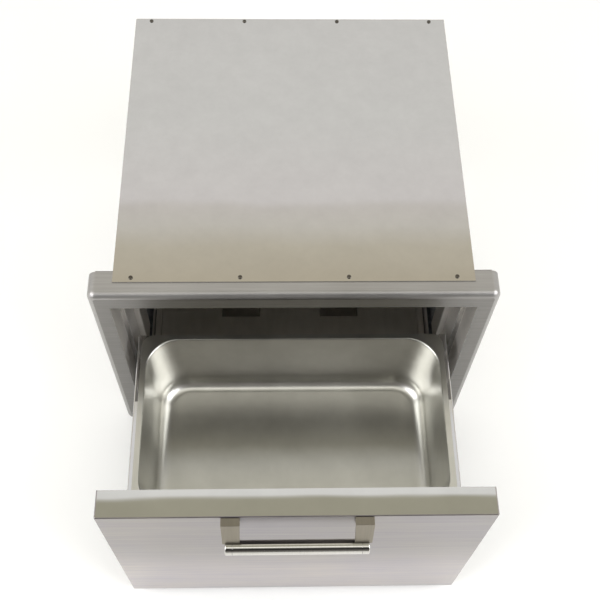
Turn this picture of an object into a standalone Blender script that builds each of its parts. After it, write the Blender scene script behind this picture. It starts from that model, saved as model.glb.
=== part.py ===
"""Ultraviolet sterilizer cabinet: a stainless box with one deep drawer that carries a lift-out pan.

Sizes are in millimetres and turned into metres at the mesh. X is across the front, Y runs from the front
to the back, Z is up. The origin is the middle of the underside of the body. The drawer is modelled open.
"""

import math

import bmesh
import bpy
from mathutils import Matrix, Vector

MM = 0.001

# Clearances
TOUCH = 0.3
RUNNING = 0.5
DRAWER_REVEAL = 3.0

# How far a cutter reaches past the face it cuts, and how finely round shapes are divided
OVERSHOOT = 1.0
SCREW_SEGMENTS = 16
LAMP_SEGMENTS = 24
TUBE_SEGMENTS = 28
CORNER_STEPS = 6
FRAME_STEPS = 5
PAN_CORNER_STEPS = 8
PAN_BEND_STEPS = 4

# Sheet thicknesses
SHEET = 1.2
PAN_SHEET = 1.0
STRAP = 3.0

# Body
BODY_WIDTH = 572.0
BODY_DEPTH = 566.0
CABINET_HEIGHT = 497.0
FOLD = 15.0

# Front frame
FRAME_OVERHANG = 40.0
FRAME_DEPTH = 46.0
FRAME_PROJECTION = 26.0
FRAME_POST = 33.5
FRAME_TOP_RAIL = 37.5
FRAME_BOTTOM_RAIL = 16.0
FRAME_ROUND = 12.0
FRAME_CORNER = 14.0
FRAME_INNER_CORNER = 2.0

# Drawer
FRONT_THICKNESS = 42.0
FRONT_CORNER = 2.0
FRONT_EDGE_BREAK = 0.7
FRONT_LINER_FOLD = 8.0
DRAWER_OPEN = 338.0
RAIL_HEIGHT = 190.0
RAIL_LIP = 10.0
PAN_LAP = 6.0
END_RAIL_HEIGHT = 58.0

# Lift-out pan
PAN_LENGTH = 530.0
PAN_WIDTH = 325.0
PAN_DEPTH = 150.0
PAN_FLANGE = 10.0
PAN_RIM_ROUND = 3.0
PAN_CORNER = 57.0
PAN_DRAFT = 11.0
PAN_BOTTOM_ROUND = 22.0
PAN_TOP = 288.0
PAN_FRONT_GAP = 11.0
FLANGE_CORNER = 22.0

# Telescopic slides
SLIDE_SPACE = 12.7
SLIDE_HEIGHT = 45.0
SLIDE_LENGTH = 400.0
SLIDE_CENTRE = 126.5
SLIDE_SETBACK = 50.0
SLIDE_METAL = 1.1

# Handle
HANDLE_LENGTH = 211.0
HANDLE_TUBE = 22.0
HANDLE_WALL = 1.2
HANDLE_STANDOFF = 28.0
HANDLE_DROP = 56.0
HANDLE_CAP = 11.0
CAP_CHAMFER = 1.0
BRACKET_WIDTH = 27.5
BRACKET_OUTSET = 110.0
BRACKET_ARM = 11.0
BRACKET_TAB = 22.0
BRACKET_TAPER = 0.9

# Screws
TOP_SCREW = 4.0
TOP_SCREW_HEAD = 7.0
TOP_SCREW_LENGTH = 6.0
TOP_SCREW_RISE = 1.6
BRACKET_SCREW_RISE = 2.0
# Share of the head's radius and of its rise at each ring, from the crown to the seat
SCREW_HEAD_SHAPE = ((0.45, 1.0), (0.85, 0.8), (1.0, 0.3), (1.0, 0.0))
SCREWS_PER_ROW = 4
SCREW_PITCH = 171.6
FRONT_SCREW_EDGE = 8.0
BACK_SCREW_EDGE = 6.0
HOLE_CLEARANCE = 0.6

# Inner plates
PLENUM_DEPTH = 95.0
FLOOR_RISE = 12.0
FLOOR_FRONT_LENGTH = 186.0
SLOT_WIDTH = 80.0
SLOT_PITCH = 206.0
SLOT_LENGTH = 35.0
SLOT_IN_FRONT_PLATE = 9.0
CHANNEL_WIDTH = 13.0
CHANNEL_RISE = 15.0
CHANNEL_GAP = 3.8
UPRIGHT_SETBACK = 66.0
UPRIGHT_WIDTH = 45.0
UPRIGHT_CLEARANCE = 1.0
UPRIGHT_TOP_GAP = 15.0

# Lamp
LAMP_LENGTH = 436.0
LAMP_DIAMETER = 26.0
LAMP_BELOW_TOP = 50.0
LAMP_BACK_FROM_FRONT = 260.0
HOLDER_THICKNESS = 16.0
HOLDER_SOCKET = 3.0
HOLDER_WIDTH = 34.0
REFLECTOR_LENGTH = 500.0
REFLECTOR_FLAT = 60.0
REFLECTOR_WING = 45.0
REFLECTOR_DROP = 20.0

# Electrical pieces behind the partition
BALLAST = (160.0, 40.0, 30.0)
BALLAST_X = -60.0
TERMINAL = (60.0, 18.0, 20.0)
TERMINAL_X = 90.0
INLET_BODY = (27.0, 22.0, 20.0)
INLET_FLANGE = (50.0, 3.0, 24.0)
INLET_WALL = 2.5
INLET_X = 190.0
INLET_Z = 60.0
VENT_SLOT = (70.0, 5.0)
VENT_COUNT = 5
VENT_PITCH = 16.0
SWITCH = (34.0, 12.0, 12.0)
SWITCH_X = 200.0
MAGNET = (30.0, 6.0, 12.0)

FRONT_EDGE = -BODY_DEPTH / 2
FRAME_FRONT = FRONT_EDGE - FRAME_PROJECTION
FRAME_BACK = FRAME_FRONT + FRAME_DEPTH
BODY_BACK = BODY_DEPTH / 2
BODY_HALF = BODY_WIDTH / 2
WALL_FACE = BODY_HALF - SHEET
FRAME_HALF = BODY_HALF + FRAME_OVERHANG
UNDER_TOP = CABINET_HEIGHT - SHEET - TOUCH
OPENING_HALF = FRAME_HALF - FRAME_POST
OPENING_TOP = UNDER_TOP - FRAME_TOP_RAIL
OPENING_BOTTOM = FRAME_BOTTOM_RAIL
FRONT_HALF = OPENING_HALF - DRAWER_REVEAL
FRONT_TOP = OPENING_TOP - DRAWER_REVEAL
FRONT_BOTTOM = OPENING_BOTTOM + DRAWER_REVEAL
RAIL_HALF = WALL_FACE - SLIDE_SPACE
RAIL_TOP = PAN_TOP - PAN_SHEET - TOUCH
LEDGE_END = PAN_LENGTH / 2 - PAN_LAP
CHANNEL_FACE = WALL_FACE - CHANNEL_GAP
PAN_FRONT = FRONT_THICKNESS + PAN_FRONT_GAP
PAN_CENTRE = PAN_FRONT + PAN_WIDTH / 2
RAIL_END = PAN_FRONT + PAN_WIDTH + TOUCH
PARTITION = BODY_BACK - PLENUM_DEPTH
SMOOTH_ANGLE = math.radians(32)


def clear_scene():
    for obj in list(bpy.data.objects):
        bpy.data.objects.remove(obj, do_unlink=True)


def material(name, colour, roughness, metallic):
    made = bpy.data.materials.new(name)
    made.use_nodes = True
    shader = made.node_tree.nodes["Principled BSDF"]
    shader.inputs["Base Color"].default_value = (*colour, 1.0)
    shader.inputs["Roughness"].default_value = roughness
    shader.inputs["Metallic"].default_value = metallic
    return made


def empty(name, location, parent=None):
    made = bpy.data.objects.new(name, None)
    made.location = Vector(location) * MM
    made.parent = parent
    bpy.context.scene.collection.objects.link(made)
    return made


def finish(name, bm, look, parent, location=(0.0, 0.0, 0.0), smooth=False):
    """Turns a bmesh in millimetres into an object in metres."""
    bmesh.ops.recalc_face_normals(bm, faces=bm.faces)
    bmesh.ops.scale(bm, vec=(MM, MM, MM), verts=bm.verts)
    mesh = bpy.data.meshes.new(name)
    bm.to_mesh(mesh)
    bm.free()
    if smooth:
        mesh.shade_smooth()
        mesh.set_sharp_from_angle(angle=SMOOTH_ANGLE)
    obj = bpy.data.objects.new(name, mesh)
    obj.location = Vector(location) * MM
    obj.parent = parent
    if look:
        mesh.materials.append(look)
    bpy.context.scene.collection.objects.link(obj)
    return obj


def add_block(bm, x, y, z):
    """A box between the two values of each pair."""
    low = Vector((min(x), min(y), min(z)))
    high = Vector((max(x), max(y), max(z)))
    made = bmesh.ops.create_cube(bm, size=1.0)["verts"]
    bmesh.ops.scale(bm, vec=high - low, verts=made)
    bmesh.ops.translate(bm, vec=(low + high) / 2, verts=made)
    return made


def add_rod(bm, radius, start, end, segments):
    """A cylinder from one point to another."""
    start, end = Vector(start), Vector(end)
    along = end - start
    made = bmesh.ops.create_cone(
        bm, cap_ends=True, segments=segments, radius1=radius, radius2=radius, depth=along.length
    )["verts"]
    turn = along.to_track_quat("Z", "Y").to_matrix().to_4x4()
    bmesh.ops.transform(bm, matrix=Matrix.Translation((start + end) / 2) @ turn, verts=made)
    return made


def add_loft(bm, loops, closed=False):
    """Skins a list of loops with equal point counts. An open loft is capped at both ends."""
    rings = [[bm.verts.new(point) for point in loop] for loop in loops]
    pairs = list(zip(rings, rings[1:]))
    if closed:
        pairs.append((rings[-1], rings[0]))
    for first, second in pairs:
        count = len(first)
        for i in range(count):
            j = (i + 1) % count
            bm.faces.new((first[i], first[j], second[j], second[i]))
    if not closed:
        bm.faces.new(rings[0])
        bm.faces.new(rings[-1])


def add_prism(bm, outline, place, start, end):
    """A closed outline carried from start to end. place turns (u, v, distance) into a point."""
    add_loft(bm, [[place(u, v, distance) for u, v in outline] for distance in (start, end)])


def along_x(u, v, distance):
    return (distance, u, v)


def along_y(u, v, distance):
    return (u, distance, v)


def along_z(u, v, distance):
    return (u, v, distance)


def folded(path, thickness):
    """The outline of a folded strip of sheet whose middle follows the path, with mitred folds."""
    points = [Vector(point) for point in path]
    runs = [(b - a).normalized() for a, b in zip(points, points[1:])]
    left, right = [], []
    for i, point in enumerate(points):
        before = runs[max(i - 1, 0)]
        after = runs[min(i, len(runs) - 1)]
        normal = Vector((-(before + after).y, (before + after).x)).normalized()
        reach = thickness / 2 / normal.dot(Vector((-after.y, after.x)))
        left.append(point + normal * reach)
        right.append(point - normal * reach)
    return [tuple(point) for point in left + right[::-1]]


def rounded_rectangle(x, z, radius, steps=CORNER_STEPS):
    """Points round a rectangle with rounded corners, anticlockwise."""
    points = []
    corners = ((x[1], z[1], 0), (x[0], z[1], 90), (x[0], z[0], 180), (x[1], z[0], 270))
    for corner_x, corner_z, start in corners:
        side_x = -1 if corner_x == x[1] else 1
        side_z = -1 if corner_z == z[1] else 1
        for step in range(steps + 1):
            angle = math.radians(start + 90 * step / steps)
            points.append(
                (
                    corner_x + side_x * radius + radius * math.cos(angle),
                    corner_z + side_z * radius + radius * math.sin(angle),
                )
            )
    return points


def upright_loop(x, z, radius, y):
    return [(u, y, v) for u, v in rounded_rectangle(x, z, radius)]


def inset(pair, amount):
    return (pair[0] + amount, pair[1] - amount)


def cut(obj, cutter):
    modifier = obj.modifiers.new("cut", "BOOLEAN")
    modifier.operation = "DIFFERENCE"
    modifier.object = cutter


def cutter(name, bm, parent=None):
    made = finish(name, bm, None, parent)
    made.hide_render = True
    made.display_type = "WIRE"
    return made


def circle(radius, segments):
    angles = [2 * math.pi * i / segments for i in range(segments)]
    return [(radius * math.cos(a), radius * math.sin(a)) for a in angles]


def screw(name, radius, head_radius, head, length, look, parent, location, axis):
    """A pan-head screw whose head sits on the plane at its location and faces along the axis."""
    profile = [(head_radius * wide, head * high) for wide, high in SCREW_HEAD_SHAPE]
    profile += [(radius, 0.0), (radius, -length)]
    bm = bmesh.new()
    add_loft(bm, [[(u, v, height) for u, v in circle(ring, SCREW_SEGMENTS)] for ring, height in profile])
    turn = Vector(axis).to_track_quat("Z", "Y").to_matrix().to_4x4()
    bmesh.ops.transform(bm, matrix=turn, verts=bm.verts)
    return finish(name, bm, look, parent, location, smooth=True)


def top_screw_places():
    places = []
    for row, y in (("front", FRONT_EDGE + FRONT_SCREW_EDGE), ("back", BODY_BACK - BACK_SCREW_EDGE)):
        for number in range(SCREWS_PER_ROW):
            x = (number - (SCREWS_PER_ROW - 1) / 2) * SCREW_PITCH
            places.append((f"top_screw_{row}_{number + 1}", x, y))
    return places


def screw_hole_cutter(parent):
    """One cutter with every hole that the top screws pass through."""
    bm = bmesh.new()
    radius = (TOP_SCREW + HOLE_CLEARANCE) / 2
    low = CABINET_HEIGHT - 2 * TOP_SCREW_LENGTH
    for _, x, y in top_screw_places():
        add_rod(bm, radius, (x, y, low), (x, y, CABINET_HEIGHT + OVERSHOOT), SCREW_SEGMENTS)
    return cutter("screw_holes", bm, parent)


def build_top(look, dark, parent, holes):
    bm = bmesh.new()
    add_block(bm, (-BODY_HALF, BODY_HALF), (FRONT_EDGE, BODY_BACK), (CABINET_HEIGHT - SHEET, CABINET_HEIGHT))
    cut(finish("top_panel", bm, look, parent), holes)
    for name, x, y in top_screw_places():
        screw(
            name,
            TOP_SCREW / 2,
            TOP_SCREW_HEAD / 2,
            TOP_SCREW_RISE,
            TOP_SCREW_LENGTH,
            dark,
            parent,
            (x, y, CABINET_HEIGHT + TOUCH / 3),
            (0, 0, 1),
        )


def build_side(name, side, look, parent):
    """A side wall with a flange turned out behind the frame and folds turned in at the top and bottom."""
    front = FRAME_BACK + TOUCH
    back = BODY_BACK - SHEET - TOUCH
    bottom = SHEET + TOUCH
    wall = BODY_HALF - SHEET / 2
    path = [
        (wall - FOLD, UNDER_TOP - SHEET / 2),
        (wall, UNDER_TOP - SHEET / 2),
        (wall, bottom + SHEET / 2),
        (wall - FOLD, bottom + SHEET / 2),
    ]
    outline = [(side * u, v) for u, v in folded(path, SHEET)]
    bm = bmesh.new()
    add_prism(bm, outline, along_y, front + SHEET / 2, back)
    panel = finish(name, bm, look, parent)
    flange = bmesh.new()
    outer = FRAME_HALF - FRAME_ROUND
    add_block(
        flange,
        (side * (wall - SHEET / 2), side * outer),
        (front, front + SHEET),
        (bottom, UNDER_TOP),
    )
    helper = cutter(name + "_flange", flange, parent)
    join = panel.modifiers.new("flange", "BOOLEAN")
    join.operation = "UNION"
    join.object = helper
    trim = bmesh.new()
    add_block(
        trim,
        (side * (wall - 2 * FOLD), side * (WALL_FACE - TOUCH)),
        (BODY_BACK - FOLD - 2 * SHEET, BODY_BACK),
        (UNDER_TOP - 2 * SHEET, CABINET_HEIGHT),
    )
    cut(panel, cutter(name + "_trim", trim, parent))
    return panel


def build_body(look, parent, holes):
    for name, side in (("side_panel_left", -1), ("side_panel_right", 1)):
        build_side(name, side, look, parent)
    bm = bmesh.new()
    add_block(bm, (-BODY_HALF, BODY_HALF), (FRAME_BACK + TOUCH, BODY_BACK), (0.0, SHEET))
    finish("bottom_panel", bm, look, parent)
    path = [
        (BODY_BACK - FOLD, UNDER_TOP - SHEET / 2),
        (BODY_BACK - SHEET / 2, UNDER_TOP - SHEET / 2),
        (BODY_BACK - SHEET / 2, SHEET + TOUCH),
    ]
    bm = bmesh.new()
    half = WALL_FACE - 2 * TOUCH
    add_prism(bm, folded(path, SHEET), along_x, -half, half)
    panel = finish("back_panel", bm, look, parent)
    cut(panel, holes)
    openings = bmesh.new()
    across = (BODY_BACK - 2 * SHEET, BODY_BACK + SHEET)
    inlet_half = (INLET_BODY[0] / 2 + RUNNING, INLET_BODY[2] / 2 + RUNNING)
    add_block(
        openings,
        (INLET_X - inlet_half[0], INLET_X + inlet_half[0]),
        across,
        (INLET_Z - inlet_half[1], INLET_Z + inlet_half[1]),
    )
    for number in range(VENT_COUNT):
        z = CABINET_HEIGHT / 2 + (number - (VENT_COUNT - 1) / 2) * VENT_PITCH
        add_block(openings, (-VENT_SLOT[0], VENT_SLOT[0]), across, (z, z + VENT_SLOT[1]))
    cut(panel, cutter("back_openings", openings, parent))


def build_frame(look, parent, holes):
    """A folded ring round the drawer opening, with a bull-nosed outer edge and open behind."""
    outer_x, outer_z = (-FRAME_HALF, FRAME_HALF), (0.0, UNDER_TOP)
    inner_x, inner_z = (-OPENING_HALF, OPENING_HALF), (OPENING_BOTTOM, OPENING_TOP)
    loops = [upright_loop(outer_x, outer_z, FRAME_CORNER, FRAME_BACK)]
    for step in range(FRAME_STEPS + 1):
        angle = math.radians(90 * step / FRAME_STEPS)
        shrink = FRAME_ROUND * (1 - math.cos(angle))
        y = FRAME_FRONT + FRAME_ROUND * (1 - math.sin(angle))
        radius = max(FRAME_CORNER - shrink, FRAME_INNER_CORNER)
        loops.append(upright_loop(inset(outer_x, shrink), inset(outer_z, shrink), radius, y))
    loops.append(upright_loop(inner_x, inner_z, FRAME_INNER_CORNER, FRAME_FRONT))
    loops.append(upright_loop(inner_x, inner_z, FRAME_INNER_CORNER, FRAME_BACK))
    inner_back = (inset(inner_x, -SHEET), inset(inner_z, -SHEET), FRAME_INNER_CORNER + SHEET)
    loops.append(upright_loop(*inner_back, FRAME_BACK))
    loops.append(upright_loop(*inner_back, FRAME_FRONT + SHEET))
    for step in range(FRAME_STEPS, -1, -1):
        angle = math.radians(90 * step / FRAME_STEPS)
        shrink = SHEET + (FRAME_ROUND - SHEET) * (1 - math.cos(angle))
        y = FRAME_FRONT + SHEET + (FRAME_ROUND - SHEET) * (1 - math.sin(angle))
        radius = max(FRAME_CORNER - shrink, FRAME_INNER_CORNER)
        loops.append(upright_loop(inset(outer_x, shrink), inset(outer_z, shrink), radius, y))
    loops.append(upright_loop(inset(outer_x, SHEET), inset(outer_z, SHEET), FRAME_CORNER - SHEET, FRAME_BACK))
    bm = bmesh.new()
    add_loft(bm, loops, closed=True)
    cut(finish("front_frame", bm, look, parent, smooth=True), holes)


def build_inner_plates(look, parent):
    inside = WALL_FACE - TOUCH
    bottom = 2 * SHEET + 2 * TOUCH
    path = [
        (-inside + SHEET / 2, PARTITION + FOLD),
        (-inside + SHEET / 2, PARTITION),
        (inside - SHEET / 2, PARTITION),
        (inside - SHEET / 2, PARTITION + FOLD),
    ]
    bm = bmesh.new()
    add_prism(bm, folded(path, SHEET), along_z, bottom, UNDER_TOP - SHEET - TOUCH)
    finish("rear_partition", bm, look, parent)

    floor_half = CHANNEL_FACE - CHANNEL_WIDTH - TOUCH
    floor_front = FRAME_BACK + TOUCH + SHEET + TOUCH
    seam = floor_front + FLOOR_FRONT_LENGTH
    base = SHEET + TOUCH
    top = base + FLOOR_RISE - SHEET / 2
    slots = bmesh.new()
    for side in (-1, 1):
        centre = side * SLOT_PITCH / 2
        start = seam - SLOT_IN_FRONT_PLATE
        add_block(
            slots,
            (centre - SLOT_WIDTH / 2, centre + SLOT_WIDTH / 2),
            (start, start + SLOT_LENGTH),
            (top - 2 * SHEET, top + 2 * SHEET),
        )
    slot_cutter = cutter("floor_slots", slots, parent)
    start = floor_front + SHEET / 2
    end = PARTITION - SHEET - TOUCH
    plates = (
        ("cavity_floor_front", [(start, base), (start, top), (seam, top)]),
        ("cavity_floor_rear", [(seam + TOUCH, top), (end, top), (end, base)]),
    )
    for name, path in plates:
        bm = bmesh.new()
        add_prism(bm, folded(path, SHEET), along_x, -floor_half, floor_half)
        cut(finish(name, bm, look, parent), slot_cutter)

    for name, side in (("floor_channel_left", -1), ("floor_channel_right", 1)):
        outer = CHANNEL_FACE - SHEET / 2
        inner = CHANNEL_FACE - CHANNEL_WIDTH + SHEET / 2
        base = 2 * SHEET + 2 * TOUCH
        path = [(outer, base), (outer, base + CHANNEL_RISE), (inner, base + CHANNEL_RISE), (inner, base)]
        outline = [(side * u, v) for u, v in folded(path, SHEET)]
        bm = bmesh.new()
        add_prism(bm, outline, along_y, floor_front, end)
        finish(name, bm, look, parent)


def build_uprights(look, parent):
    """Hat-section posts that stiffen the cavity's walls above the slides and clear the drawer."""
    inner = RAIL_HALF + UPRIGHT_CLEARANCE + SHEET / 2
    outer = WALL_FACE - TOUCH
    front = FRONT_EDGE + UPRIGHT_SETBACK + SHEET / 2
    back = front + UPRIGHT_WIDTH - SHEET
    foot = SLIDE_CENTRE + SLIDE_HEIGHT / 2 + RUNNING
    for name, side in (("wall_upright_left", -1), ("wall_upright_right", 1)):
        path = [(outer, front), (inner, front), (inner, back), (outer, back)]
        outline = [(side * u, v) for u, v in folded(path, SHEET)]
        bm = bmesh.new()
        add_prism(bm, outline, along_z, foot, UNDER_TOP - UPRIGHT_TOP_GAP)
        finish(name, bm, look, parent)


def build_lamp(glass, plastic, mirror, parent):
    y = FRONT_EDGE + LAMP_BACK_FROM_FRONT
    z = CABINET_HEIGHT - LAMP_BELOW_TOP
    bm = bmesh.new()
    add_rod(bm, LAMP_DIAMETER / 2, (-LAMP_LENGTH / 2, y, z), (LAMP_LENGTH / 2, y, z), LAMP_SEGMENTS)
    finish("uv_lamp", bm, glass, parent, smooth=True)

    reflector_top = UNDER_TOP - SHEET - TOUCH
    for name, side in (("lamp_holder_left", -1), ("lamp_holder_right", 1)):
        start = LAMP_LENGTH / 2 + TOUCH - HOLDER_SOCKET
        bm = bmesh.new()
        add_block(
            bm,
            (side * start, side * (start + HOLDER_THICKNESS)),
            (y - HOLDER_WIDTH / 2, y + HOLDER_WIDTH / 2),
            (z - HOLDER_WIDTH / 2, reflector_top - SHEET - TOUCH),
        )
        holder = finish(name, bm, plastic, parent)
        socket = bmesh.new()
        radius = LAMP_DIAMETER / 2 + TOUCH
        deep = LAMP_LENGTH / 2 + TOUCH
        add_rod(socket, radius, (side * (start - OVERSHOOT), y, z), (side * deep, y, z), LAMP_SEGMENTS)
        cut(holder, cutter(name + "_socket", socket, parent))

    half = REFLECTOR_FLAT / 2
    edge = half + REFLECTOR_WING
    path = [
        (y - edge, reflector_top - REFLECTOR_DROP),
        (y - half, reflector_top - SHEET / 2),
        (y + half, reflector_top - SHEET / 2),
        (y + edge, reflector_top - REFLECTOR_DROP),
    ]
    bm = bmesh.new()
    add_prism(bm, folded(path, SHEET), along_x, -REFLECTOR_LENGTH / 2, REFLECTOR_LENGTH / 2)
    finish("lamp_reflector", bm, mirror, parent)


def build_electrics(metal, plastic, black, parent):
    base = SHEET + TOUCH
    y = PARTITION + PLENUM_DEPTH / 2
    for name, size, x, look in (
        ("lamp_ballast", BALLAST, BALLAST_X, metal),
        ("terminal_block", TERMINAL, TERMINAL_X, plastic),
    ):
        bm = bmesh.new()
        add_block(
            bm,
            (x - size[0] / 2, x + size[0] / 2),
            (y - size[1] / 2, y + size[1] / 2),
            (base, base + size[2]),
        )
        finish(name, bm, look, parent)

    bm = bmesh.new()
    width, deep, height = INLET_BODY
    add_block(
        bm,
        (INLET_X - width / 2, INLET_X + width / 2),
        (BODY_BACK - deep, BODY_BACK + TOUCH),
        (INLET_Z - height / 2, INLET_Z + height / 2),
    )
    inlet = finish("power_inlet", bm, black, parent)
    bm = bmesh.new()
    width, thick, height = INLET_FLANGE
    add_block(
        bm,
        (INLET_X - width / 2, INLET_X + width / 2),
        (BODY_BACK + TOUCH, BODY_BACK + TOUCH + thick),
        (INLET_Z - height / 2, INLET_Z + height / 2),
    )
    join = inlet.modifiers.new("flange", "BOOLEAN")
    join.operation = "UNION"
    join.object = cutter("power_inlet_flange", bm, parent)
    recess = bmesh.new()
    half_wide = INLET_BODY[0] / 2 - INLET_WALL
    half_high = INLET_BODY[2] / 2 - INLET_WALL
    add_block(
        recess,
        (INLET_X - half_wide, INLET_X + half_wide),
        (BODY_BACK - INLET_BODY[1] + 2 * INLET_WALL, BODY_BACK + 2 * INLET_FLANGE[1]),
        (INLET_Z - half_high, INLET_Z + half_high),
    )
    cut(inlet, cutter("power_inlet_recess", recess, parent))

    width, deep, height = SWITCH
    bm = bmesh.new()
    add_block(
        bm,
        (SWITCH_X - width / 2, SWITCH_X + width / 2),
        (FRAME_BACK + 2 * TOUCH, FRAME_BACK + 2 * TOUCH + deep),
        (UNDER_TOP - SHEET - TOUCH - FRAME_TOP_RAIL - height, UNDER_TOP - SHEET - TOUCH),
    )
    finish("drawer_switch", bm, black, parent)


def build_slides(side, label, steel, cabinet, middle, drawer):
    """Three nested channels: one on the wall, one that follows at half the travel, one on the drawer."""
    outer_face = WALL_FACE - TOUCH
    inner_face = RAIL_HALF + TOUCH
    half = SLIDE_HEIGHT / 2
    metal = SLIDE_METAL
    fixed_web = outer_face - metal / 2
    middle_web = fixed_web - metal - RUNNING
    drawer_web = inner_face + metal / 2
    fixed_lip = drawer_web + 2 * metal + RUNNING
    middle_lip = drawer_web + metal + RUNNING / 2
    drawer_lip = middle_web - metal / 2 - RUNNING
    middle_half = half - metal - RUNNING
    drawer_half = middle_half - metal - RUNNING
    rows = (
        (f"slide_fixed_{label}", fixed_web, fixed_lip, half, cabinet, FRAME_FRONT),
        (f"slide_middle_{label}", middle_web, middle_lip, middle_half, middle, 0.0),
        (f"slide_drawer_{label}", drawer_web, drawer_lip, drawer_half, drawer, 0.0),
    )
    for name, web, lip, reach, parent, front in rows:
        edge = reach - metal / 2
        path = [(lip, edge), (web, edge), (web, -edge), (lip, -edge)]
        outline = [(side * u, v) for u, v in folded(path, metal)]
        begin = front + SLIDE_SETBACK
        bm = bmesh.new()
        add_prism(bm, outline, along_y, begin, begin + SLIDE_LENGTH)
        finish(name, bm, steel, parent, (0.0, 0.0, SLIDE_CENTRE))


def build_drawer_front(look, parent):
    wide, tall = (-FRONT_HALF, FRONT_HALF), (FRONT_BOTTOM, FRONT_TOP)
    skin_inner = (inset(wide, SHEET), inset(tall, SHEET), FRONT_CORNER - SHEET / 2)
    bm = bmesh.new()
    add_loft(
        bm,
        [
            upright_loop(*skin_inner, SHEET),
            upright_loop(*skin_inner, FRONT_THICKNESS),
            upright_loop(wide, tall, FRONT_CORNER, FRONT_THICKNESS),
            upright_loop(wide, tall, FRONT_CORNER, SHEET),
            upright_loop(inset(wide, FRONT_EDGE_BREAK), inset(tall, FRONT_EDGE_BREAK), FRONT_CORNER, 0.0),
        ],
    )
    skin = finish("drawer_front_skin", bm, look, parent)
    holes = bmesh.new()
    radius = (TOP_SCREW + HOLE_CLEARANCE) / 2
    z = bracket_screw_height()
    for side in (-1, 1):
        x = side * (BRACKET_OUTSET - BRACKET_WIDTH / 2)
        add_rod(holes, radius, (x, -SHEET, z), (x, 2 * SHEET, z), SCREW_SEGMENTS)
    cut(skin, cutter("bracket_holes", holes, parent))

    inner_wide, inner_tall = inset(wide, SHEET + TOUCH), inset(tall, SHEET + TOUCH)
    start = FRONT_THICKNESS - FRONT_LINER_FOLD
    tray = (inset(inner_wide, SHEET), inset(inner_tall, SHEET), FRONT_CORNER - SHEET / 2)
    bm = bmesh.new()
    add_loft(
        bm,
        [
            upright_loop(*tray, FRONT_THICKNESS - SHEET),
            upright_loop(*tray, start),
            upright_loop(inner_wide, inner_tall, FRONT_CORNER, start),
            upright_loop(inner_wide, inner_tall, FRONT_CORNER, FRONT_THICKNESS),
        ],
    )
    finish("drawer_front_liner", bm, look, parent)


def build_drawer_rails(look, parent):
    start = FRONT_THICKNESS + TOUCH
    ledge = RAIL_TOP - SHEET / 2
    wall = RAIL_HALF - SHEET / 2
    for name, side in (("drawer_rail_left", -1), ("drawer_rail_right", 1)):
        path = [
            (LEDGE_END, ledge),
            (wall, ledge),
            (wall, ledge - RAIL_HEIGHT),
            (RAIL_HALF - RAIL_LIP, ledge - RAIL_HEIGHT),
        ]
        outline = [(side * u, v) for u, v in folded(path, SHEET)]
        bm = bmesh.new()
        add_prism(bm, outline, along_y, start, RAIL_END)
        finish(name, bm, look, parent)

    half = LEDGE_END - TOUCH
    end = RAIL_END - TOUCH - SHEET / 2
    front = start + SHEET / 2
    reach = PAN_FRONT_GAP + PAN_FLANGE - PAN_RIM_ROUND
    rows = (
        ("drawer_front_rail", [(front, ledge - END_RAIL_HEIGHT), (front, ledge), (front + reach, ledge)]),
        ("drawer_rear_rail", [(end, ledge - END_RAIL_HEIGHT), (end, ledge), (end - PAN_FLANGE + SHEET, ledge)]),
    )
    for name, path in rows:
        bm = bmesh.new()
        add_prism(bm, folded(path, SHEET), along_x, -half, half)
        finish(name, bm, look, parent)


def pan_loop(grow, radius, z):
    """A level loop round the pan, grown from the edge of its opening."""
    half_x = PAN_LENGTH / 2 - PAN_FLANGE + grow
    half_y = PAN_WIDTH / 2 - PAN_FLANGE + grow
    points = rounded_rectangle((-half_x, half_x), (-half_y, half_y), radius, PAN_CORNER_STEPS)
    return [(x, y, z) for x, y in points]


def pan_surface(offset):
    """Loops down one face of the pan. The face is offset outwards by the given sheet thickness."""
    loops = []
    top = -offset
    rim = PAN_RIM_ROUND - offset
    for step in range(PAN_BEND_STEPS + 1):
        angle = math.radians(90 * step / PAN_BEND_STEPS)
        grow = -PAN_RIM_ROUND + PAN_RIM_ROUND * (1 - math.sin(angle)) + offset * math.sin(angle)
        z = top - rim * (1 - math.cos(angle))
        loops.append(pan_loop(grow, PAN_CORNER + grow, z))
    floor = -PAN_DEPTH - offset + PAN_SHEET
    bend = PAN_BOTTOM_ROUND + offset
    wall_foot = -PAN_RIM_ROUND - PAN_DRAFT + offset
    for step in range(PAN_BEND_STEPS + 1):
        angle = math.radians(90 * step / PAN_BEND_STEPS)
        grow = wall_foot - bend * (1 - math.cos(angle))
        z = floor + bend * (1 - math.sin(angle))
        loops.append(pan_loop(grow, PAN_CORNER + grow, z))
    return loops


def build_pan(look, parent):
    """A deep-drawn pan with a flat flange. Its empty is at the middle of the flange's top."""
    edge_x, edge_y = PAN_LENGTH / 2, PAN_WIDTH / 2
    flange = []
    for z in (0.0, -PAN_SHEET):
        points = rounded_rectangle((-edge_x, edge_x), (-edge_y, edge_y), FLANGE_CORNER, PAN_CORNER_STEPS)
        flange.append([(x, y, z) for x, y in points])
    inner = pan_surface(0.0)
    outer = pan_surface(PAN_SHEET)
    bm = bmesh.new()
    add_loft(bm, inner[::-1] + flange + outer)
    finish("pan", bm, look, parent, smooth=True)


def bracket_screw_height():
    return FRONT_TOP - BRACKET_TAB + TOP_SCREW_HEAD


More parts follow.
